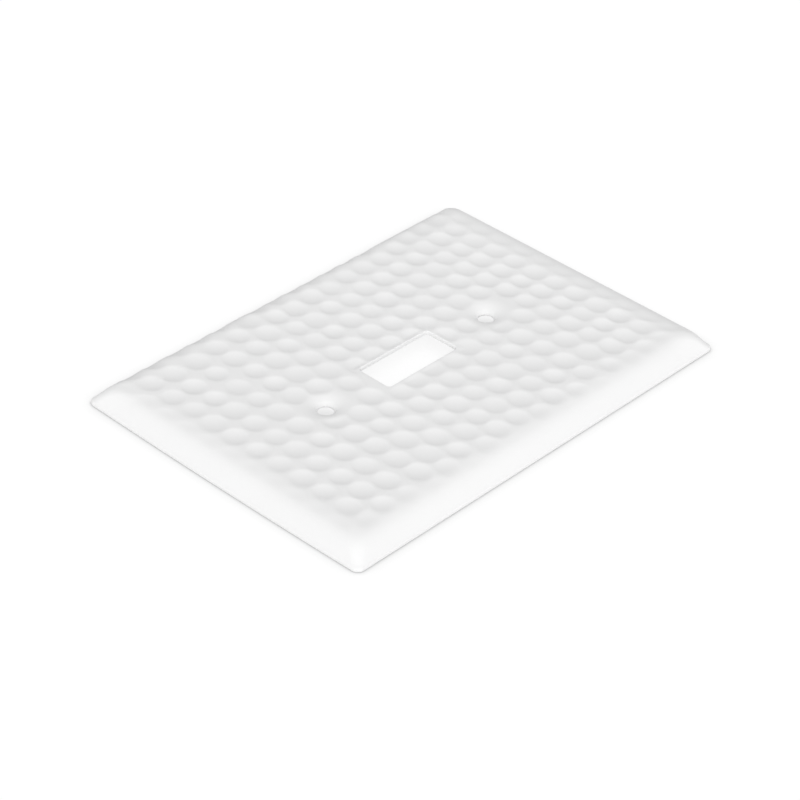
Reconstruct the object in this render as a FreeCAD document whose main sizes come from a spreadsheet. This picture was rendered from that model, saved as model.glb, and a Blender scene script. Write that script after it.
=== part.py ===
import FreeCAD, Part
import Sketcher
import math
import os

# A hammered steel cover plate for one toggle switch, lying face up on its rim.
# +X runs across the plate, +Y along it and +Z out of its face. The origin is the
# centre of the rim plane. Lengths are in millimetres and angles in degrees.

os.makedirs("parts", exist_ok=True)
doc = FreeCAD.newDocument("switch_plate_model")

sizes = {
    # the pressed pan
    "plate_width": 94.0,
    "plate_length": 136.0,
    "plate_height": 5.5,
    "sheet_thickness": 1.0,
    "corner_radius": 2.0,
    "flare_angle": 30.0,
    "flare_radius": 3.0,
    "wall_angle": 52.0,
    "bend_radius": 5.6,
    # the toggle slot and its turned-down lip
    "slot_width": 10.4,
    "slot_length": 25.4,
    "slot_corner_radius": 0.9,
    "slot_edge_radius": 1.0,
    "lip_depth": 1.9,
    # the two screw holes, each in a pressed seat
    "screw_spacing": 60.325,
    "screw_hole_diameter": 4.2,
    "countersink_diameter": 5.8,
    "countersink_angle": 82.0,
    "screw_dish_diameter": 14.0,
    "screw_dish_depth": 0.8,
    "seat_diameter": 7.2,
    "seat_depth": 2.1,
    "seat_taper": 45.0,
    # the hammer marks
    "mark_diameter": 6.2,
    "mark_floor_diameter": 2.6,
    "mark_depth": 0.32,
    "mark_pitch_across": 7.39,
    "mark_pitch_along": 6.92,
    "mark_tightening": 0.05,
    "mark_start": 2.1,
    "mark_stray": 0.35,
    "mark_side_margin": 8.4,
    "mark_end_margin": 4.7,
    "mark_slot_margin": 2.4,
    "mark_screw_margin": 5.5,
    "tool_overlap": 0.05,
}

# How far each row of hammer marks is shifted to +X, from the -Y end of the plate up.
# On a longer plate the list starts again.
row_shifts = (
    5.1, 0.3, 0.3, 0.7, 0.2, 0.4, 4.1, 0.5, 0.3, 0.1,
    0.2, 0.2, 0.2, 0.1, 5.6, 4.5, 2.6, 3.6, 1.2,
)
first_shift_row = -9

dims = doc.addObject("Spreadsheet::Sheet", "dims")
for row, (name, size) in enumerate(sizes.items(), start=1):
    dims.set("A%d" % row, name)
    dims.set("B%d" % row, str(size))
    dims.setAlias("B%d" % row, name)
doc.recompute()


# The value of an expression that reads the sheet.
def value(expression):
    return float(dims.evalExpression(expression))


# The flange section as formulas of its slope. From the rim a hollow flare steepens
# to a straight wall, and a round bend brings the wall level with the face. The
# underside is the same section, further in along the normal by the sheet's thickness.
rim_height = "(dims.sheet_thickness * cos(dims.flare_angle))"
flare_rise = "(dims.flare_radius * (cos(dims.flare_angle) - cos(dims.wall_angle)))"
flare_reach = "(dims.flare_radius * (sin(dims.wall_angle) - sin(dims.flare_angle)))"
bend_rise = "(dims.bend_radius * (1 - cos(dims.wall_angle)))"
bend_reach = "(dims.bend_radius * sin(dims.wall_angle))"
wall_rise = "(dims.plate_height - %s - %s - %s)" % (rim_height, flare_rise, bend_rise)
flange_reach = "(%s + %s / tan(dims.wall_angle) + %s)" % (flare_reach, wall_rise, bend_reach)

# The ball that dishes the face round a screw, and the height at which the countersink
# starts: where the dish is as wide as the countersink.
dish_radius = (
    "((dims.screw_dish_diameter ^ 2 / 4 + dims.screw_dish_depth ^ 2) / (2 * dims.screw_dish_depth))"
)
countersink_top = (
    "(dims.plate_height - dims.screw_dish_depth + %s - sqrt(%s ^ 2 - dims.countersink_diameter ^ 2 / 4))"
    % (dish_radius, dish_radius)
)

flare_shares = (0.0, 0.5, 1.0)
bend_shares = (0.0, 0.25, 0.5, 0.75, 1.0)


# Inset, height and corner radius on the hollow flare, at a depth below the outside.
def flare_section(share, depth):
    slope = "(dims.flare_angle + %g * (dims.wall_angle - dims.flare_angle))" % share
    radius = "(dims.flare_radius + %s)" % depth
    inset = "(%s * sin(%s) - dims.flare_radius * sin(dims.flare_angle))" % (radius, slope)
    top = "%s + dims.flare_radius * cos(dims.flare_angle)" % rim_height
    height = "(%s - %s * cos(%s))" % (top, radius, slope)
    return inset, height, "(dims.corner_radius - %s * sin(%s))" % (depth, slope)


# The same on the round bend, from the wall's slope down to level.
def bend_section(share, depth):
    slope = "(%g * dims.wall_angle)" % (1 - share)
    radius = "(dims.bend_radius - %s)" % depth
    inset = "(%s - %s * sin(%s))" % (flange_reach, radius, slope)
    height = "(dims.plate_height - dims.bend_radius + %s * cos(%s))" % (radius, slope)
    return inset, height, "(dims.corner_radius - %s * sin(%s))" % (depth, slope)


# A sketch parallel to the body's XY plane, at a bound height.
def level_sketch(body, name, height):
    plane = [item for item in body.Origin.OriginFeatures if item.Role == "XY_Plane"][0]
    sketch = body.newObject("Sketcher::SketchObject", name)
    sketch.AttachmentSupport = [(plane, "")]
    sketch.MapMode = "FlatFace"
    sketch.setExpression(".AttachmentOffset.Base.z", height)
    return sketch


# Adds a constraint and binds its size.
def bind(sketch, name, expression, *constraint):
    sketch.addConstraint(Sketcher.Constraint(*constraint, value(expression)))
    sketch.renameConstraint(sketch.ConstraintCount - 1, name)
    sketch.setExpression("Constraints." + name, expression)


# A rounded rectangle about the origin, drawn anticlockwise from its -Y side.
def rounded_rectangle(body, name, height, width, length, radius):
    sketch = level_sketch(body, name, height)
    side_x = value(width) / 2
    side_y = value(length) / 2
    arc_x = side_x - value(radius)
    arc_y = side_y - value(radius)
    sides = (
        ((-arc_x, -side_y), (arc_x, -side_y)),
        ((side_x, -arc_y), (side_x, arc_y)),
        ((arc_x, side_y), (-arc_x, side_y)),
        ((-side_x, arc_y), (-side_x, -arc_y)),
    )
    for start, end in sides:
        sketch.addGeometry(Part.LineSegment(FreeCAD.Vector(*start), FreeCAD.Vector(*end)), False)
    for corner, centre in enumerate(((arc_x, -arc_y), (arc_x, arc_y), (-arc_x, arc_y), (-arc_x, -arc_y))):
        circle = Part.Circle(FreeCAD.Vector(*centre), FreeCAD.Vector(0, 0, 1), value(radius))
        turn = (corner - 1) * math.pi / 2
        sketch.addGeometry(Part.ArcOfCircle(circle, turn, turn + math.pi / 2), False)
    for side in range(4):
        arc = side + 4
        sketch.addConstraint(Sketcher.Constraint("Tangent", side, 2, arc, 1))
        sketch.addConstraint(Sketcher.Constraint("Tangent", arc, 2, (side + 1) % 4, 1))
        sketch.addConstraint(Sketcher.Constraint("Horizontal" if side % 2 == 0 else "Vertical", side))
    for arc in (5, 6, 7):
        sketch.addConstraint(Sketcher.Constraint("Equal", 4, arc))
    sketch.addConstraint(Sketcher.Constraint("Symmetric", 4, 3, 6, 3, -1, 1))
    bind(sketch, "width", width, "DistanceX", 3, 1, 1, 1)
    bind(sketch, "length", length, "DistanceY", 0, 1, 2, 1)
    bind(sketch, "radius", radius, "Radius", 4)
    return sketch


# Circles of one bound diameter, centred on the two screw holes.
def screw_circles(body, name, height, diameter):
    sketch = level_sketch(body, name, height)
    half_spacing = value("dims.screw_spacing") / 2
    radius = value(diameter) / 2
    for side in (-1, 1):
        centre = FreeCAD.Vector(0, side * half_spacing, 0)
        sketch.addGeometry(Part.Circle(centre, FreeCAD.Vector(0, 0, 1), radius), False)
    sketch.addConstraint(Sketcher.Constraint("PointOnObject", 0, 3, -2))
    sketch.addConstraint(Sketcher.Constraint("Symmetric", 0, 3, 1, 3, -1, 1))
    bind(sketch, "spacing", "dims.screw_spacing", "DistanceY", 0, 3, 1, 3)
    for circle, label in enumerate(("front_diameter", "back_diameter")):
        bind(sketch, label, diameter, "Diameter", circle)
    return sketch


# The stack of sections that a loft joins, at one depth below the outside.
def flange_sketches(body, name, depth):
    sections = [flare_section(share, depth) for share in flare_shares]
    sections += [bend_section(share, depth) for share in bend_shares]
    sketches = []
    for number, (inset, height, radius) in enumerate(sections, start=1):
        width = "dims.plate_width - 2 * %s" % inset
        length = "dims.plate_length - 2 * %s" % inset
        sketches.append(rounded_rectangle(body, "%s_%d" % (name, number), height, width, length, radius))
    return sketches


# A loft with a straight run from each section to the next.
def loft(body, kind, name, sketches):
    feature = body.newObject("PartDesign::" + kind, name)
    feature.Profile = sketches[0]
    feature.Sections = sketches[1:]
    feature.Ruled = True
    doc.recompute()
    return feature


# A pad upwards from its sketch.
def pad(body, name, sketch, length):
    feature = body.newObject("PartDesign::Pad", name)
    feature.Profile = sketch
    feature.setExpression("Length", length)
    doc.recompute()
    return feature


# The pan: the rim's cut edge, the flange above it, and the hollow underneath.
def pressed_pan(body):
    outline = rounded_rectangle(body, "rim_outline", "0", "dims.plate_width", "dims.plate_length",
                                "dims.corner_radius")
    pad(body, "rim", outline, rim_height)
    loft(body, "AdditiveLoft", "crown", flange_sketches(body, "crown_section", "0"))
    loft(body, "SubtractiveLoft", "hollow", flange_sketches(body, "hollow_section", "dims.sheet_thickness"))


# The toggle slot, with the sheet turned down all round it.
def toggle_slot(body):
    lip = rounded_rectangle(body, "lip_outline", "dims.plate_height - dims.lip_depth",
                            "dims.slot_width + 2 * dims.sheet_thickness",
                            "dims.slot_length + 2 * dims.sheet_thickness",
                            "dims.slot_corner_radius + dims.sheet_thickness")
    pad(body, "slot_lip", lip, "dims.lip_depth - dims.sheet_thickness")
    opening = rounded_rectangle(body, "slot_outline", "dims.plate_height",
                                "dims.slot_width", "dims.slot_length", "dims.slot_corner_radius")
    slot = body.newObject("PartDesign::Pocket", "slot")
    slot.Profile = opening
    slot.Type = "ThroughAll"
    doc.recompute()
    top = value("dims.plate_height") - 0.01
    reach = value("dims.slot_length") / 2 + 0.01
    rim_edges = [
        "Edge%d" % number
        for number, edge in enumerate(slot.Shape.Edges, start=1)
        if edge.BoundBox.ZMin > top and abs(edge.BoundBox.XMax) < reach and abs(edge.BoundBox.YMax) < reach
    ]
    edge_roll = body.newObject("PartDesign::Fillet", "slot_edge")
    edge_roll.Base = (slot, rim_edges)
    edge_roll.setExpression("Radius", "dims.slot_edge_radius")
    doc.recompute()


# The screw holes: a seat pressed down from the sheet, then a countersunk hole.
def screw_holes(body):
    seats = screw_circles(body, "seat_outline", "dims.plate_height - dims.seat_depth", "dims.seat_diameter")
    seat = pad(body, "screw_seats", seats, "dims.seat_depth - dims.sheet_thickness")
    seat.setExpression("TaperAngle", "dims.seat_taper")
    centres = screw_circles(body, "screw_hole_outline", countersink_top, "dims.screw_hole_diameter")
    doc.recompute()
    hole = body.newObject("PartDesign::Hole", "screw_hole")
    hole.Profile = centres
    hole.setExpression("Diameter", "dims.screw_hole_diameter")
    hole.DepthType = "ThroughAll"
    hole.HoleCutType = "Countersink"
    hole.setExpression("HoleCutDiameter", "dims.countersink_diameter")
    hole.setExpression("HoleCutCountersinkAngle", "dims.countersink_angle")
    doc.recompute()
    body.Tip = hole


# The tool that presses a screw's dish: a ball's lower cap, a little above the face.
# The ball lies on its side, so that its poles and its seam are away from the cap.
def dish_tool():
    ball = doc.addObject("Part::Sphere", "dish_ball")
    ball.Placement.Rotation = FreeCAD.Rotation(FreeCAD.Vector(0, 1, 0), -90)
    ball.setExpression("Radius", dish_radius)
    ball.setExpression(".Placement.Base.z", "dims.plate_height - dims.screw_dish_depth + " + dish_radius)
    band = doc.addObject("Part::Cylinder", "dish_band")
    band.setExpression("Radius", "dims.screw_dish_diameter")
    band.setExpression("Height", "2 * dims.screw_dish_depth + dims.tool_overlap")
    band.setExpression(".Placement.Base.z", "dims.plate_height - 2 * dims.screw_dish_depth")
    return common("dish_cap", ball, band)


# One hammer mark: a shallow eight-sided bowl with a flat floor, the common part of
# two square ones turned half a side apart. Its sides carry on a little above the face.
def mark_tool():
    rise = "(dims.mark_depth + dims.tool_overlap)"
    floor = "(dims.mark_floor_diameter / 2)"
    spread = "((dims.mark_diameter - dims.mark_floor_diameter) / 2 / dims.mark_depth)"
    mouth = "(%s + %s * %s)" % (floor, spread, rise)
    bowls = []
    for name, turn in (("mark_square", 0), ("mark_diamond", 45)):
        bowl = doc.addObject("Part::Wedge", name)
        upright = FreeCAD.Rotation(FreeCAD.Vector(1, 0, 0), 90)
        bowl.Placement.Rotation = FreeCAD.Rotation(FreeCAD.Vector(0, 0, 1), turn).multiply(upright)
        bowl.setExpression(".Placement.Base.z", "dims.plate_height - dims.mark_depth")
        bowl.Ymin = 0
        bowl.setExpression("Ymax", rise)
        for end in ("Xmin", "Zmin"):
            bowl.setExpression(end, "-" + floor)
        for end in ("Xmax", "Zmax"):
            bowl.setExpression(end, floor)
        for end in ("X2min", "Z2min"):
            bowl.setExpression(end, "-" + mouth)
        for end in ("X2max", "Z2max"):
            bowl.setExpression(end, mouth)
        bowls.append(bowl)
    return common("mark_bowl", *bowls)


def common(name, first, second):
    feature = doc.addObject("Part::Common", name)
    feature.Base = first
    feature.Tool = second
    doc.recompute()
    return feature


# Whether a mark would run into the toggle slot or a screw's dish.
def mark_is_clear(x, y):
    margin = value("dims.mark_slot_margin")
    beside_slot = abs(x) > value("dims.slot_width") / 2 + margin
    beyond_slot = abs(y) > value("dims.slot_length") / 2 + margin
    to_screw = math.hypot(x, abs(y) - value("dims.screw_spacing") / 2)
    return (beside_slot or beyond_slot) and to_screw > value("dims.mark_screw_margin")


# The centres of the hammer marks, in four sets with no two neighbours in one set.
def mark_sets():
    across = value("dims.mark_pitch_across")
    along = value("dims.mark_pitch_along")
    end_x = value("dims.plate_width") / 2 - value("dims.mark_side_margin")
    end_y = value("dims.plate_length") / 2 - value("dims.mark_end_margin")
    sets = [[], [], [], []]
    last_row = int(end_y / along) + 2
    last_column = int(end_x / across) + 2
    for row in range(-last_row, last_row + 1):
        y = value("dims.mark_start") + along * row - value("dims.mark_tightening") * row ** 2 / 2
        shift = row_shifts[(row - first_shift_row) % len(row_shifts)]
        for column in range(-last_column, last_column + 1):
            stray = value("dims.mark_stray") * math.sin(2.3 * row + 1.7 * column)
            x = across * column + shift + stray
            if abs(x) < end_x and abs(y) < end_y and mark_is_clear(x, y):
                sets[2 * (row % 2) + column % 2].append((x, y))
    return sets


# One blow repeated at the given centres, as one cutting tool.
def struck_tool(name, blow, centres):
    tool = doc.addObject("Part::Feature", name)
    tool.Shape = Part.makeCompound([blow.Shape.translated(FreeCAD.Vector(x, y, 0)) for x, y in centres])
    return tool


def cut(name, base, tool):
    feature = doc.addObject("Part::Cut", name)
    feature.Base = base
    feature.Tool = tool
    feature.Refine = False
    doc.recompute()
    return feature


pan = doc.addObject("PartDesign::Body", "pan")
pressed_pan(pan)
toggle_slot(pan)

dish_cap = dish_tool()
mark_bowl = mark_tool()
screw_holes(pan)
half_spacing = value("dims.screw_spacing") / 2
screw_dishes = struck_tool("screw_dishes", dish_cap, [(0, -half_spacing), (0, half_spacing)])
plate = cut("dished_plate", pan, screw_dishes)
for number, centres in enumerate(mark_sets(), start=1):
    hammer_marks = struck_tool("hammer_marks_%d" % number, mark_bowl, centres)
    plate = cut("struck_plate_%d" % number, plate, hammer_marks)
plate.Label = "switch_plate"

for item in doc.Objects:
    if "Invalid" in item.State or "Error" in item.State:
        raise RuntimeError("%s did not build: %s" % (item.Label, item.State))
if plate.Shape.isNull() or not plate.Shape.isValid() or len(plate.Shape.Solids) != 1:
    raise RuntimeError("switch_plate is not one valid solid")
plate.Shape.exportStep("parts/switch_plate.step")
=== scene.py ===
import math

import bpy
import numpy as np
from mathutils import Matrix, Vector


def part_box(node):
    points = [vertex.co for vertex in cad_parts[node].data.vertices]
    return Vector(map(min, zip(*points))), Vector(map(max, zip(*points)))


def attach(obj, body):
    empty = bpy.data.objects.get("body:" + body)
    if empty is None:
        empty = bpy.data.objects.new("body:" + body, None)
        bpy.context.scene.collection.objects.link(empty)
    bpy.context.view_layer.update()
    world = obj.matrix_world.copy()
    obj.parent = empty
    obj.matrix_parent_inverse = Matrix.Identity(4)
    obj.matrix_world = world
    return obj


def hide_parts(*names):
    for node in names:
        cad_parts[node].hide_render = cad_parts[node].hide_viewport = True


# A hammered steel cover plate for a toggle switch, painted satin white and lying
# face up on a white floor. The plate is one pressed sheet: a smooth blank with its
# flange, slot and screw dishes is built first, then hammered mark by mark.

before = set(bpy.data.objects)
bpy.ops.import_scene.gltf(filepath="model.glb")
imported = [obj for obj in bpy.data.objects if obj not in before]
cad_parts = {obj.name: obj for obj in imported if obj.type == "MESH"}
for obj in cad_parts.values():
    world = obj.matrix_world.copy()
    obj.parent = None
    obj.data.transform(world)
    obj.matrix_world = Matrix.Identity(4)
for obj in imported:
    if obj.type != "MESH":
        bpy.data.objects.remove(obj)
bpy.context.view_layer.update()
mm = 0.001
print("frame loaded")

shot = {
    "azimuth": 41.06,  # degrees
    "elevation": 35.59,
    "roll": 3.36,
    "distance": 700.2,  # mm from the plate
    "right": -1.866,
    "up": -6.235,
    "lens": 122.42,
    "sensor": 36.0,
}


def addCamera(shot):
    azimuth, elevation, roll = (math.radians(shot[name]) for name in ("azimuth", "elevation", "roll"))
    level = math.cos(elevation)
    back = Vector((math.sin(azimuth) * level, -math.cos(azimuth) * level, math.sin(elevation)))
    side = Vector((math.cos(azimuth), math.sin(azimuth), 0))
    rise = back.cross(side)
    right = side * math.cos(roll) + rise * math.sin(roll)
    up = rise * math.cos(roll) - side * math.sin(roll)
    place = (back * shot["distance"] + right * shot["right"] + up * shot["up"]) * mm
    lens = bpy.data.cameras.new("photoCamera")
    lens.sensor_width = shot["sensor"]
    lens.lens = shot["lens"]
    camera = bpy.data.objects.new("photoCamera", lens)
    camera.matrix_world = Matrix.Translation(place) @ Matrix((right, up, back)).transposed().to_4x4()
    bpy.context.collection.objects.link(camera)
    bpy.context.scene.camera = camera


addCamera(shot)
print("camera placed")

# The pressed blank. Counts are cells of the face's grid, lengths are in mm.
blank = {
    "sheet": 1.0,
    "cornerRadius": 2.0,
    "columns": 87,  # cells from the middle to the edge of the flat face
    "rows": 135,
    "cornerCells": 18,
    "cornerGrowth": 0.4,  # how fast the corners get rounder from the rim inwards
    "underStep": 3,  # cells of the face to one cell of the underside
    "faceInset": 10.6,  # how far inside the rim the flat face ends
    "rimBow": 0.5,  # how far the near rim's corners fall back from its middle
    "bowStart": 46.0,
    "sharpAngle": 45.0,  # degrees
    # the flange outside, as inset from the rim and height above the floor
    "flange": (
        (9.9, 5.5), (9.2, 5.5), (8.5, 5.495), (7.8, 5.49), (7.1, 5.475), (6.4, 5.44), (5.8, 5.385),
        (5.2, 5.29), (4.6, 5.14), (4.0, 4.89), (3.35, 4.51), (2.7, 3.98), (2.1, 3.31), (1.5, 2.6),
        (1.0, 1.93), (0.6, 1.43), (0.3, 1.12), (0.12, 0.96), (0.03, 0.84), (0.0, 0.7), (0.0, 0.16),
        (0.04, 0.05), (0.14, 0.0),
    ),
    # the same under the sheet, from the rim up
    "hollow": (
        (0.52, 0.0), (1.3, 0.86), (1.9, 1.66), (2.55, 2.42), (3.1, 3.1), (3.8, 3.72), (4.5, 4.13),
        (5.3, 4.34), (6.2, 4.43), (7.3, 4.48), (8.9, 4.5),
    ),
    # how much lower the two near sides lie, bent more softly than the far ones, by inset
    "wear": (
        (0.3, 0.0), (0.6, 0.12), (1.0, 0.24), (1.5, 0.36), (2.1, 0.44), (2.7, 0.49), (3.35, 0.48),
        (4.0, 0.44), (4.6, 0.385), (5.2, 0.325), (5.8, 0.26), (6.4, 0.2), (7.1, 0.135), (7.8, 0.085),
        (8.6, 0.045), (9.5, 0.015), (10.5, 0.0),
    ),
    "wearFade": 9.0,  # from a far corner, how long the lowering takes to set in
    "wearLag": 0.6,  # how much further in the hollow follows it
    # how much lower the far end lies; below 0 the crest stands fuller
    "farWear": (
        (1.0, 0.0), (1.5, -0.05), (2.1, -0.25), (2.7, -0.17), (3.35, 0.03), (4.0, 0.17), (4.6, 0.25),
        (5.2, 0.27), (5.8, 0.25), (6.4, 0.215), (7.1, 0.16), (7.8, 0.105), (8.5, 0.06), (9.2, 0.03),
        (9.9, 0.0),
    ),
    "farFade": 4.0,  # the same for the far end
}
slot = {
    "half": (5.2, 12.7),
    "cornerRadius": 0.9,
    "cells": (15, 33),  # half of the opening left for it in the grid
    "cornerCells": 3,
    "roll": 0.3,  # radius of the rounded edge
    "wallAngle": 72.0,  # degrees from level
    "rollSteps": 7,
    "lip": 1.0,  # how far the wall reaches down
    # the foot of the wall, as reach from the opening and height above the wall's end
    "lipEdge": ((0.0, 0.2), (0.0, 0.1), (0.03, 0.03), (0.12, 0.0)),
    "underReach": (0.6, 0.4),  # how far from the opening the last two rings under the sheet lie
}
screw = {
    "spacing": 60.325,
    "cells": (18, 51, 90),  # half width, first row and last row of the opening left for it
    "dishRadius": 7.6,
    "dishDepth": 0.85,
    "dishPower": 2.3,
    "dishSteps": 14,
    "dishEase": 1.25,  # how much closer the dish's rings stand towards the hole
    "rimRadius": 3.0,
    # from the dish down the countersink and the hole, as radius and depth
    "hole": ((2.9, 0.91), (2.8, 1.0), (2.6, 1.2), (2.35, 1.47), (2.2, 1.64), (2.12, 1.75),
             (2.1, 1.86), (2.1, 2.04), (2.14, 2.1)),
    "seat": ((3.6, 2.1), (4.7, 1.0)),
}


# Takes grid places to a rounded rectangle: corner cells go round its corners.
def toOutline(places, gridHalf, cornerCells, half, radius):
    flat = np.asarray(gridHalf, float) - cornerCells
    away = np.abs(places)
    corner = np.clip((away - flat) / cornerCells, 0, 1)
    turned = corner * np.sqrt(1 - corner[:, ::-1] ** 2 / 2)
    straight = np.minimum(away, flat) * (np.asarray(half) - radius) / flat
    return np.sign(places) * (straight + radius * turned)


# The grid places round a rectangle of cells, anticlockwise.
def boxLoop(left, right, low, high, step):
    loop = [(i, low) for i in range(left, right, step)]
    loop += [(right, j) for j in range(low, high, step)]
    loop += [(i, high) for i in range(right, left, -step)]
    loop += [(left, j) for j in range(high, low, -step)]
    return loop


def addRing(points, flat, height):
    start = len(points)
    points += [(x, y, z) for (x, y), z in zip(flat, np.broadcast_to(height, len(flat)))]
    return list(range(start, len(points)))


def bridge(faces, inner, outer, flip):
    for k in range(len(inner)):
        after = (k + 1) % len(inner)
        face = (inner[k], outer[k], outer[after], inner[after])
        faces.append(face[::-1] if flip else face)


# Joins a fine ring to a coarse one in one plane that faces down.
def stitch(faces, fine, coarse, step, fineOutside):
    for k in range(len(coarse)):
        run = [fine[(k * step + n) % len(fine)] for n in range(step + 1)]
        face = [coarse[(k + 1) % len(coarse)], coarse[k]] + run
        faces.append(face if not fineOutside else face[::-1])


def dishDrop(radii):
    reach = np.clip((screw["dishRadius"] - radii) / (screw["dishRadius"] - screw["rimRadius"]), 0, 1)
    return screw["dishDepth"] * reach ** screw["dishPower"]


# One side of the flat face, with openings for the slot and screws; returns its rings.
def addGrid(points, faces, half, height, step, flip):
    columns, rows = blank["columns"], blank["rows"]
    slotX, slotY = slot["cells"]
    screwX, screwLow, screwHigh = screw["cells"]
    boxes = {
        "slot": (-slotX, slotX, -slotY, slotY),
        "back": (-screwX, screwX, screwLow, screwHigh),
        "front": (-screwX, screwX, -screwHigh, -screwLow),
    }
    places = [
        (i, j) for j in range(-rows, rows + 1, step) for i in range(-columns, columns + 1, step)
        if not any(left < i < right and front < j < back for left, right, front, back in boxes.values())
    ]
    grid = (columns, rows)
    flat = toOutline(np.array(places, float), grid, blank["cornerCells"], half, faceRadius)
    index = dict(zip(places, addRing(points, flat, height)))
    for i, j in places:
        corners = ((i, j), (i + step, j), (i + step, j + step), (i, j + step))
        cell = [index.get(place) for place in corners]
        if None not in cell:
            faces.append(cell[::-1] if flip else cell)
    boxes["rim"] = (-columns, columns, -rows, rows)
    return {name: [index[place] for place in boxLoop(*box, step)] for name, box in boxes.items()}


# Rings that follow a profile round a rectangle of cells; growth is how fast the radius of
# the corners grows with the profile's reach.
def addProfile(points, faces, ring, profile, grid, cornerCells, half, radius, growth, step, flip, outwards):
    loop = np.array(boxLoop(-grid[0], grid[0], -grid[1], grid[1], step), float)
    for reach, height in profile:
        flat = toOutline(loop, grid, cornerCells, np.asarray(half) + reach, radius + growth * reach)
        after = addRing(points, flat, height)
        if outwards:
            bridge(faces, ring, after, flip)
        else:
            bridge(faces, after, ring, flip)
        ring = after
    return ring


# Rings from a screw's square opening in to circles.
def addScrewRings(points, faces, ring, centre, profile, steps, height, dished, flip):
    square = np.array([points[n][:2] for n in ring])
    middle = (square.max(axis=0) + square.min(axis=0)) / 2
    away = (square - middle) / (square.max(axis=0) - middle)
    turns = np.arctan2(away[:, 1], away[:, 0])
    circle = np.stack((np.cos(turns), np.sin(turns)), axis=1)
    first = profile[0][0] if not dished else screw["rimRadius"]
    for k in range(1, steps + 1):
        share = 1 - (1 - k / steps) ** screw["dishEase"]
        flat = square * (1 - share) + (centre + circle * first) * share
        drop = dishDrop(np.linalg.norm(flat - centre, axis=1)) if dished else 0.0
        after = addRing(points, flat, height - drop)
        bridge(faces, after, ring, flip)
        ring = after
    for radius, depth in profile:
        after = addRing(points, centre + circle * radius, fullHeight - depth)
        bridge(faces, after, ring, flip)
        ring = after
    return ring


low, high = (np.array(corner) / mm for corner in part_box("switch_plate"))
fullHeight = high[2]
rimHalf = (high - low)[:2] / 2
faceInset = blank["faceInset"]
faceHalf = rimHalf - faceInset
faceRadius = blank["cornerRadius"] + blank["cornerGrowth"] * faceInset


# The slot's wall seen in section, from the face down: its rounding, its slope and its foot.
def slotProfile():
    steep = math.radians(slot["wallAngle"])
    roll = slot["roll"]
    turns = np.linspace(0, steep, slot["rollSteps"] + 1)
    rolled = roll * (1 - math.cos(steep))
    foot = slot["lip"] - slot["lipEdge"][0][1]
    reach = roll * math.sin(steep) + (foot - rolled) / math.tan(steep)
    edge = [(reach - roll * math.sin(turn), fullHeight - roll * (1 - math.cos(turn))) for turn in turns]
    return edge + [(reach, fullHeight - slot["lip"] + height) for reach, height in slot["lipEdge"]]


def buildBlank():
    points, faces = [], []
    step = blank["underStep"]
    underHeight = fullHeight - blank["sheet"]
    grid = (blank["columns"], blank["rows"])
    rim = (grid, blank["cornerCells"], faceHalf, faceRadius, -blank["cornerGrowth"])
    opening = (slot["cells"], slot["cornerCells"], slot["half"], slot["cornerRadius"], 1)
    toScrew = screw["spacing"] / 2
    centres = {"back": np.array((0, toScrew)), "front": np.array((0, -toScrew))}

    top = addGrid(points, faces, faceHalf, fullHeight, 1, False)
    flange = [(faceInset - inset, height) for inset, height in blank["flange"]]
    flangeStart = len(points)
    topRim = addProfile(points, faces, top["rim"], flange, *rim, 1, False, True)
    flangeEnd = len(points)
    topSlot = addProfile(points, faces, top["slot"], slotProfile(), *opening, 1, False, False)
    topHoles = {
        name: addScrewRings(points, faces, top[name], centre, screw["hole"], screw["dishSteps"],
                            fullHeight, True, False)
        for name, centre in centres.items()
    }
    topCount = len(points)

    under = addGrid(points, faces, faceHalf, underHeight, step, True)
    hollow = [(faceInset - inset, height) for inset, height in reversed(blank["hollow"])]
    hollowStart = len(points)
    underRim = addProfile(points, faces, under["rim"], hollow, *rim, step, True, True)
    hollowEnd = len(points)
    outer, inner = slot["underReach"]
    lip = [(outer, underHeight), (inner, fullHeight - slot["lip"])]
    underSlot = addProfile(points, faces, under["slot"], lip, *opening, step, True, False)
    stitch(faces, topRim, underRim, step, True)
    stitch(faces, topSlot, underSlot, step, False)
    for name, centre in centres.items():
        ring = addScrewRings(points, faces, under[name], centre, screw["seat"][::-1], 0,
                             underHeight, False, True)
        stitch(faces, topHoles[name], ring, step, False)

    places = np.array(points)
    insets = np.full(len(places), faceInset)
    insets[flangeStart:flangeEnd] = np.repeat(faceInset - np.array(flange)[:, 0], len(topRim))
    insets[hollowStart:hollowEnd] = np.repeat(
        faceInset - np.array(hollow)[:, 0] - blank["wearLag"], len(underRim))
    places[:, 2] -= wearDrop(places, insets)
    places[:, :2] += (low + high)[:2] / 2
    bow = np.clip((-places[:, 1] - blank["bowStart"]) / (rimHalf[1] - blank["bowStart"]), 0, 1)
    places[:, 1] += blank["rimBow"] * (places[:, 0] / rimHalf[0]) ** 2 * bow ** 2
    mesh = bpy.data.meshes.new("switchPlate")
    mesh.from_pydata(places * mm, [], faces)
    share = mesh.attributes.new("strikeShare", "FLOAT", "POINT")
    share.data.foreach_set("value", strikeShare(places, topCount))
    return mesh


def fade(share):
    share = np.clip(share, 0, 1)
    return share * share * (3 - 2 * share)


# How much lower than the even flange each point lies, on the near sides and the far end.
def wearDrop(places, insets):
    insetX, insetY = (rimHalf - np.abs(places[:, :2])).T
    right = np.where(places[:, 1] < 0, 1, fade((insetY - insetX) / blank["wearFade"]))
    left = fade((insetX - insetY) / blank["wearFade"]) * (places[:, 1] < 0)
    near = np.where(places[:, 0] > 0, right, left)
    far = fade((insetX - insetY) / blank["farFade"]) * (places[:, 1] > 0)
    nearDrop = np.interp(insets, *np.array(blank["wear"]).T)
    farDrop = np.interp(insets, *np.array(blank["farWear"]).T)
    return near * nearDrop + far * farDrop


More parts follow.
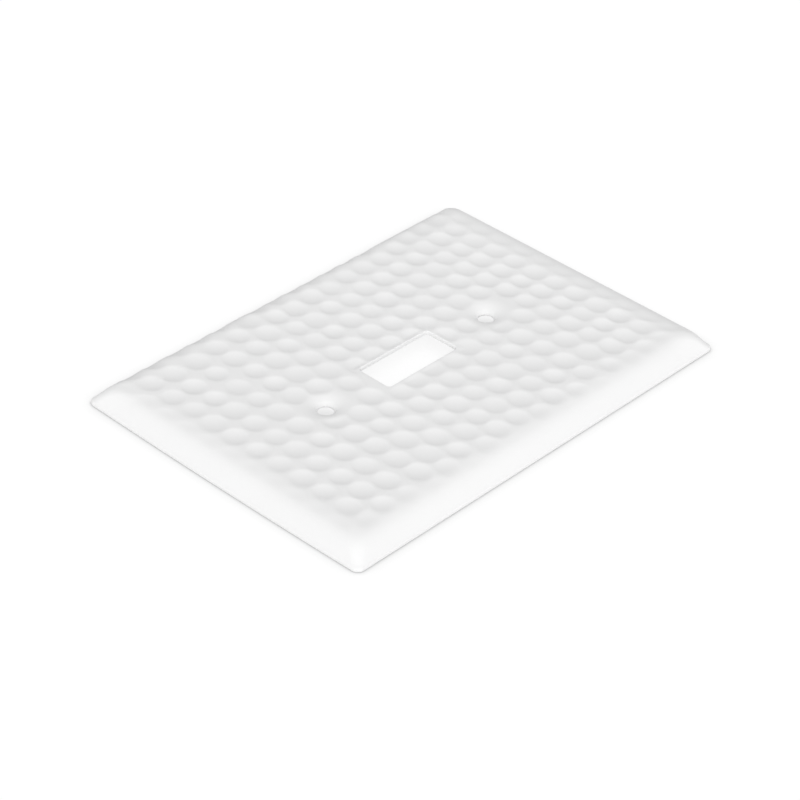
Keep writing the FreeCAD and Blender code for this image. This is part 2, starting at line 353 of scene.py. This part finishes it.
# How far each distance is through one of the marks' fades, from 0 to 1.
def through(distance, name):
    start, length = marks[name]
    return np.clip((distance - start) / length, 0, 1)


# How much of a hammer mark each point takes: none on the near walls, the slot's edge, a
# screw's dish or the underside.
def strikeShare(places, topCount):
    away = np.abs(places[:, :2])
    toSlot = np.linalg.norm(np.maximum(away - slot["half"], 0), axis=1)
    toScrew = np.hypot(away[:, 0], away[:, 1] - screw["spacing"] / 2)
    inset = rimHalf - away
    soft = through(inset, "softFade")
    side = np.where(places[:, 0] < 0, through(inset[:, 0], "firmFade"), soft[:, 0])
    share = soft[:, 1] * side * through(toSlot, "slotFade") * through(toScrew, "screwFade")
    share[topCount:] = 0
    return fade(share)


# The hammer marks, row by row from the far end: where the row crosses the middle of
# the plate, its first mark, the distance between marks, and how it leans, in mm.
marks = {
    "rows": (
        (62.3, -37.0, 7.3, 0.010), (55.7, -34.5, 7.25, 0.011), (49.5, -34.0, 7.2, 0.011),
        (43.4, -33.6, 7.21, 0.012), (36.9, -31.7, 7.57, 0.003), (29.7, -38.2, 7.23, -0.010),
        (22.8, -38.7, 7.63, -0.016),
        (15.8, -38.5, 7.37, -0.017), (8.9, -37.4, 7.51, -0.018), (2.2, -38.1, 7.32, -0.016),
        (-4.9, -36.9, 7.21, -0.017), (-11.3, -37.7, 7.55, -0.023), (-18.4, -33.6, 7.5, -0.026),
        (-25.2, -38.2, 7.55, -0.028), (-32.3, -38.2, 7.16, -0.016), (-40.1, -37.0, 7.5, -0.018),
        (-47.8, -37.1, 7.34, -0.005), (-54.9, -37.6, 7.6, -0.006), (-61.8, -33.0, 7.4, 0.0),
    ),
    "columns": (-2, 13),  # counted from a row's first mark
    "edgeReach": 9.0,  # how far beyond the flat face marks start
    "offset": (1.2, -0.8),
    "slotClear": (0.9, 0.6),
    "screwClear": 6.2,
    # where marks begin to show, and over what length they reach their full depth
    "softFade": (4.2, 6.5),  # inwards from the rim
    "firmFade": (0.8, 2.6),  # the same on the far long side
    "slotFade": (0.4, 1.2),
    "screwFade": (4.2, 3.0),
    "radius": 3.45,
    "radiusSpread": 0.3,
    "depth": 0.43,
    "depthSpread": 0.08,
    "power": 2.0,
    "ridge": 0.12,  # how softly two marks meet
    "stray": 0.25,
    "seed": 7,
}


def markCentres():
    centres = []
    halfX, halfY = faceHalf + marks["edgeReach"]
    clearX, clearY = np.add(slot["half"], marks["slotClear"])
    for middle, first, pitch, lean in marks["rows"]:
        for column in range(*marks["columns"]):
            x = first + pitch * column + marks["offset"][0]
            y = middle + lean * x + marks["offset"][1]
            toScrew = math.hypot(x, abs(y) - screw["spacing"] / 2)
            offSlot = abs(x) > clearX or abs(y) > clearY
            if abs(x) < halfX and abs(y) < halfY and offSlot and toScrew > marks["screwClear"]:
                centres.append((x * mm, y * mm, 0))
    mesh = bpy.data.meshes.new("markCentres")
    mesh.from_pydata(centres, [], [])
    holder = bpy.data.objects.new("markCentres", mesh)
    bpy.context.collection.objects.link(holder)
    return holder


# Adds a node with its settings, and joins sockets or sets values on its inputs.
def addNode(tree, kind, inputs=(), **settings):
    node = tree.nodes.new(kind)
    for name, setting in settings.items():
        setattr(node, name, setting)
    for name, source in dict(inputs).items():
        if isinstance(source, bpy.types.NodeSocket):
            tree.links.new(source, node.inputs[name])
        else:
            node.inputs[name].default_value = source
    return node


def calculate(tree, operation, *terms):
    return addNode(tree, "ShaderNodeMath", enumerate(terms), operation=operation).outputs[0]


def readAttribute(tree, name):
    return addNode(tree, "GeometryNodeInputNamedAttribute", {"Name": name}, data_type="FLOAT").outputs[0]


# The tree that hammers a blank: each turn of its repeat zone strikes one mark, and
# the face keeps the deepest blow at every point, with a soft ridge between two.
def hammerTree():
    tree = bpy.data.node_groups.new("hammerMarks", "GeometryNodeTree")
    panel = tree.interface
    panel.new_socket("Geometry", in_out="OUTPUT", socket_type="NodeSocketGeometry")
    panel.new_socket("Geometry", in_out="INPUT", socket_type="NodeSocketGeometry")
    panel.new_socket("Centres", in_out="INPUT", socket_type="NodeSocketObject")
    for name in ("Radius", "Radius Spread", "Depth", "Depth Spread", "Power", "Ridge", "Stray"):
        panel.new_socket(name, in_out="INPUT", socket_type="NodeSocketFloat")
    panel.new_socket("Seed", in_out="INPUT", socket_type="NodeSocketInt")
    panel.new_socket("Paint", in_out="INPUT", socket_type="NodeSocketMaterial")
    given = addNode(tree, "NodeGroupInput").outputs

    centres = addNode(tree, "GeometryNodeObjectInfo", {"Object": given["Centres"]}).outputs["Geometry"]
    counted = addNode(tree, "GeometryNodeAttributeDomainSize", {"Geometry": centres}).outputs["Point Count"]
    place = addNode(tree, "GeometryNodeInputPosition").outputs[0]
    flatPlace = addNode(tree, "ShaderNodeVectorMath", {0: place, 1: (1, 1, 0)},
                        operation="MULTIPLY").outputs[0]

    start = tree.nodes.new("GeometryNodeRepeatInput")
    end = tree.nodes.new("GeometryNodeRepeatOutput")
    start.pair_with_output(end)
    tree.links.new(counted, start.inputs["Iterations"])
    tree.links.new(given["Geometry"], start.inputs["Geometry"])
    turn = start.outputs["Iteration"]

    centre = addNode(tree, "GeometryNodeSampleIndex", {"Geometry": centres, "Value": place, "Index": turn},
                     data_type="FLOAT_VECTOR").outputs["Value"]
    draws = []
    for offset in range(4):
        seed = calculate(tree, "ADD", given["Seed"], offset)
        draw = addNode(tree, "FunctionNodeRandomValue", {"Seed": seed, "ID": turn}, data_type="FLOAT")
        draw.inputs[2].default_value = -1
        draw.inputs[3].default_value = 1
        draws.append(draw.outputs[1])
    strayX, strayY, radiusStray, depthStray = (
        calculate(tree, "MULTIPLY", draw, given[name])
        for draw, name in zip(draws, ("Stray", "Stray", "Radius Spread", "Depth Spread")))
    stray = addNode(tree, "ShaderNodeCombineXYZ", {"X": strayX, "Y": strayY}).outputs[0]
    struck = addNode(tree, "ShaderNodeVectorMath", {0: centre, 1: stray}, operation="ADD").outputs[0]
    away = addNode(tree, "ShaderNodeVectorMath", {0: flatPlace, 1: struck},
                   operation="DISTANCE").outputs["Value"]
    radius = calculate(tree, "ADD", given["Radius"], radiusStray)
    depth = calculate(tree, "ADD", given["Depth"], depthStray)
    reach = calculate(tree, "POWER", calculate(tree, "DIVIDE", away, radius), given["Power"])
    blow = calculate(tree, "MULTIPLY", calculate(tree, "SUBTRACT", 1.0, reach), depth)
    before = readAttribute(tree, "drop")
    after = calculate(tree, "SMOOTH_MAX", before, blow, given["Ridge"])
    store = addNode(tree, "GeometryNodeStoreNamedAttribute",
                    {"Geometry": start.outputs["Geometry"], "Name": "drop", "Value": after}, data_type="FLOAT")
    tree.links.new(store.outputs[0], end.inputs["Geometry"])

    drop = calculate(tree, "MULTIPLY", readAttribute(tree, "strikeShare"), readAttribute(tree, "drop"))
    down = calculate(tree, "MULTIPLY", drop, -1.0)
    fall = addNode(tree, "ShaderNodeCombineXYZ", {"Z": down}).outputs[0]
    moved = addNode(tree, "GeometryNodeSetPosition",
                    {"Geometry": end.outputs["Geometry"], "Offset": fall})
    whole = addNode(tree, "GeometryNodeRealizeInstances", {"Geometry": moved.outputs[0]})
    painted = addNode(tree, "GeometryNodeSetMaterial",
                      {"Geometry": whole.outputs[0], "Material": given["Paint"]})
    out = tree.nodes.new("NodeGroupOutput")
    tree.links.new(painted.outputs[0], out.inputs["Geometry"])
    return tree


paint = {
    "grey": 0.86,
    "roughness": 0.7,
    "gloss": 0.1,
    "peelSize": 1.1,  # mm
    "peelDepth": 0.004,
    "peelDetail": 2.0,
    "tone": 0.012,
    "toneSize": 17.0,
    "toneDetail": 3.0,
}


# White powder coat: a faint orange peel, and a tone that drifts a little over the plate.
def whitePaint():
    material = bpy.data.materials.new("whitePowderCoat")
    material.use_nodes = True
    tree = material.node_tree
    shader = tree.nodes["Principled BSDF"]
    shader.inputs["Roughness"].default_value = paint["roughness"]
    shader.inputs["Specular IOR Level"].default_value = paint["gloss"]
    where = addNode(tree, "ShaderNodeTexCoord").outputs["Object"]
    drift = addNode(tree, "ShaderNodeTexNoise", {
        "Vector": where, "Scale": 1 / (paint["toneSize"] * mm), "Detail": paint["toneDetail"]})
    tone = addNode(tree, "ShaderNodeValToRGB", {"Fac": drift.outputs["Fac"]})
    for stop, side in zip(tone.color_ramp.elements, (-1, 1)):
        level = paint["grey"] + side * paint["tone"]
        stop.color = (level, level, level, 1)
    tree.links.new(tone.outputs["Color"], shader.inputs["Base Color"])
    peel = addNode(tree, "ShaderNodeTexNoise", {
        "Vector": where, "Scale": 1 / (paint["peelSize"] * mm), "Detail": paint["peelDetail"]})
    bump = addNode(tree, "ShaderNodeBump", {
        "Height": peel.outputs["Fac"], "Distance": paint["peelDepth"] * mm, "Strength": 1.0})
    tree.links.new(bump.outputs["Normal"], shader.inputs["Normal"])
    return material


def hammeredPlate():
    blankMesh = buildBlank()
    holder = bpy.data.objects.new("hammeredBlank", blankMesh)
    bpy.context.collection.objects.link(holder)
    centres = markCentres()
    tree = hammerTree()
    hammer = holder.modifiers.new("hammerMarks", "NODES")
    hammer.node_group = tree
    given = {
        "Centres": centres,
        "Radius": marks["radius"] * mm,
        "Radius Spread": marks["radiusSpread"] * mm,
        "Depth": marks["depth"] * mm,
        "Depth Spread": marks["depthSpread"] * mm,
        "Power": marks["power"],
        "Ridge": marks["ridge"] * mm,
        "Stray": marks["stray"] * mm,
        "Seed": marks["seed"],
        "Paint": whitePaint(),
    }
    for item in tree.interface.items_tree:
        if item.in_out == "INPUT" and item.name in given:
            hammer[item.identifier] = given[item.name]
    struck = holder.evaluated_get(bpy.context.evaluated_depsgraph_get())
    mesh = bpy.data.meshes.new_from_object(struck)
    mesh.name = "switchPlate"
    bpy.data.objects.remove(holder)
    bpy.data.objects.remove(centres)
    mesh.shade_smooth()
    mesh.set_sharp_from_angle(angle=math.radians(blank["sharpAngle"]))
    piece = bpy.data.objects.new("switch_plate_hammered", mesh)
    bpy.context.collection.objects.link(piece)
    return piece


plate = hammeredPlate()
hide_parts("switch_plate")
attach(plate, "root")
print("plate hammered", len(plate.data.polygons), "faces")

studio = {
    "floorColour": (0.9, 0.9, 0.9, 1),
    "floorSize": 6.0,  # m
    "floorDrop": 0.02,  # mm below the plate's rim
    "floorWhite": 1.06,  # what the camera sees of the open floor
    "floorLit": 0.2,  # the share of that which follows the light
    "paintedBounceGlow": 0.86,  # what it throws back at the plate: a glow that stands in for bounce light, painted light
    "bounceLit": 0.7,  # the share of that which follows the light
    "paintedShadowReach": 4.55,  # mm, how far the painted shadow darkens the floor's glow round and under the plate
    "paintedShadowGain": 1.05,
    "paintedShadowSamples": 8,
    "skyLevel": 0.7,
    "skyLean": 0.9,  # how much brighter the studio is on its bright side
    "brightSide": (0.675, -0.635, 0.375),  # the way towards it
}


# Whether a ray shows the background: one from the camera, a reflection or through glass.
def showsBackground(tree):
    ray = addNode(tree, "ShaderNodeLightPath").outputs
    seen = calculate(tree, "MAXIMUM", ray["Is Camera Ray"], ray["Is Glossy Ray"])
    return calculate(tree, "MAXIMUM", seen, ray["Is Transmission Ray"])


# A white floor that keeps the plate's shadow: part a white glow of its own, with a painted shadow near and
# under the plate, and part matte. The camera sees more of the first, the plate more of the second, so the glow
# also throws painted bounce light at the plate.
def addFloor():
    half = studio["floorSize"] / 2
    mesh = bpy.data.meshes.new("floor")
    corners = [(-half, -half, 0), (half, -half, 0), (half, half, 0), (-half, half, 0)]
    mesh.from_pydata(corners, [], [(0, 1, 2, 3)])
    floor = bpy.data.objects.new("floor", mesh)
    floor.location.z = -studio["floorDrop"] * mm
    bpy.context.collection.objects.link(floor)
    material = bpy.data.materials.new("whiteFloor")
    material.use_nodes = True
    tree = material.node_tree
    tree.nodes.remove(tree.nodes["Principled BSDF"])
    matte = addNode(tree, "ShaderNodeBsdfDiffuse", {"Color": studio["floorColour"]}).outputs[0]
    # Painted shadow: ambient occlusion darkens the floor's own glow near and under the plate, both where the
    # camera sees it and where it lights the plate.
    contact = addNode(tree, "ShaderNodeAmbientOcclusion", {"Distance": studio["paintedShadowReach"] * mm},
                      samples=studio["paintedShadowSamples"]).outputs["AO"]
    shade = calculate(tree, "MINIMUM", calculate(tree, "MULTIPLY", contact, studio["paintedShadowGain"]), 1.0)
    seen = showsBackground(tree)
    # The glow that the plate gets from the floor is painted bounce light, darkened by the same painted shadow.
    whiteGain = studio["floorWhite"] - studio["paintedBounceGlow"]
    level = calculate(tree, "MULTIPLY_ADD", seen, whiteGain, studio["paintedBounceGlow"])
    strength = calculate(tree, "MULTIPLY", shade, level)
    white = addNode(tree, "ShaderNodeEmission", {"Strength": strength}).outputs[0]
    shareGain = studio["bounceLit"] - studio["floorLit"]
    share = calculate(tree, "MULTIPLY_ADD", seen, shareGain, 1 - studio["bounceLit"])
    both = addNode(tree, "ShaderNodeMixShader", {0: share, 1: matte, 2: white}).outputs[0]
    tree.links.new(both, tree.nodes["Material Output"].inputs["Surface"])
    mesh.materials.append(material)


# One wide soft light: the whole studio, brighter on the side that the plate is seen from.
def addLight():
    world = bpy.data.worlds.new("studio")
    bpy.context.scene.world = world
    world.use_nodes = True
    tree = world.node_tree
    sky = tree.nodes["Background"]
    towards = addNode(tree, "ShaderNodeTexCoord").outputs["Generated"]
    bright = Vector(studio["brightSide"]).normalized()
    lean = addNode(tree, "ShaderNodeVectorMath", {0: towards, 1: bright},
                   operation="DOT_PRODUCT").outputs["Value"]
    level = calculate(tree, "MULTIPLY_ADD", lean, studio["skyLean"], studio["skyLevel"])
    level = calculate(tree, "MAXIMUM", level, 0.0)
    seen = showsBackground(tree)
    white = calculate(tree, "MULTIPLY", seen, calculate(tree, "SUBTRACT", 1.0, level))
    tree.links.new(calculate(tree, "ADD", level, white), sky.inputs["Strength"])
    sky.inputs["Color"].default_value = (1, 1, 1, 1)


addFloor()
addLight()
bpy.context.scene.view_settings.view_transform = "Standard"
print("studio lit")
